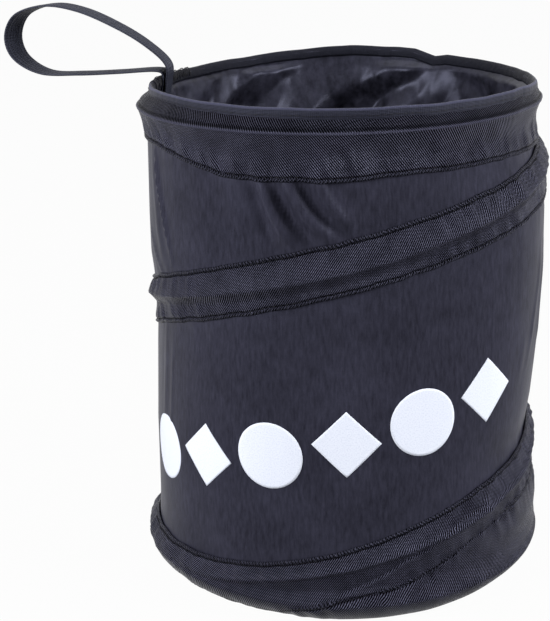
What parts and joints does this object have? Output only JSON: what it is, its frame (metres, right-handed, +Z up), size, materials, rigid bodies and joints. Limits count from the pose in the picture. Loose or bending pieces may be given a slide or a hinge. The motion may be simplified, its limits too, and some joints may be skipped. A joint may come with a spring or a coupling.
{
  "type": "pop-up car litter bin",
  "caption": "Round soft-sided litter bin for a car, held open by a coiled spring wire in twill tape, with a webbing loop at the rim; pushes flat.",
  "frame": {"origin": "on the bin's axis, on the underside of the base panel", "axes": "+Z up along the bin's axis; -Y is the printed front; the webbing loop is at the left of the rim, towards -X"},
  "size_m": [0.2257, 0.1684, 0.2306],
  "materials": {
    "wall_cloth": "plain-weave polyester, soft sheen",
    "twill_tape": "polyester twill, diagonal wale",
    "lining_cloth": "light polyester taffeta, wrinkled",
    "binding_tape": "smooth woven binding",
    "webbing": "ribbed polypropylene webbing",
    "spring_steel": "drawn spring wire",
    "white_ink": "screen-printed white ink"
  },
  "bodies": {
    "base": {"base_panel": "twill_tape", "base_band": "twill_tape", "outer_wall": "wall_cloth", "front_print": "white_ink", "lining_floor": "lining_cloth", "lining": "lining_cloth", "coil_spring": "spring_steel", "foot_ferrule": "spring_steel", "helix_band": "twill_tape"},
    "rim": {"rim_ferrule": "spring_steel", "rim_band": "twill_tape", "rim_binding": "binding_tape", "handle_strap": "webbing"}
  },
  "joints": [
    {"name": "collapse", "type": "slide", "parent": "base", "child": "rim", "axis": [0, 0, -1], "range_m": [0, 0.155], "stiffness_N_per_m": 60, "springref_m": -0.03, "deforming": ["outer_wall", "lining", "helix_band", "coil_spring", "base_band", "front_print"]}
  ]
}
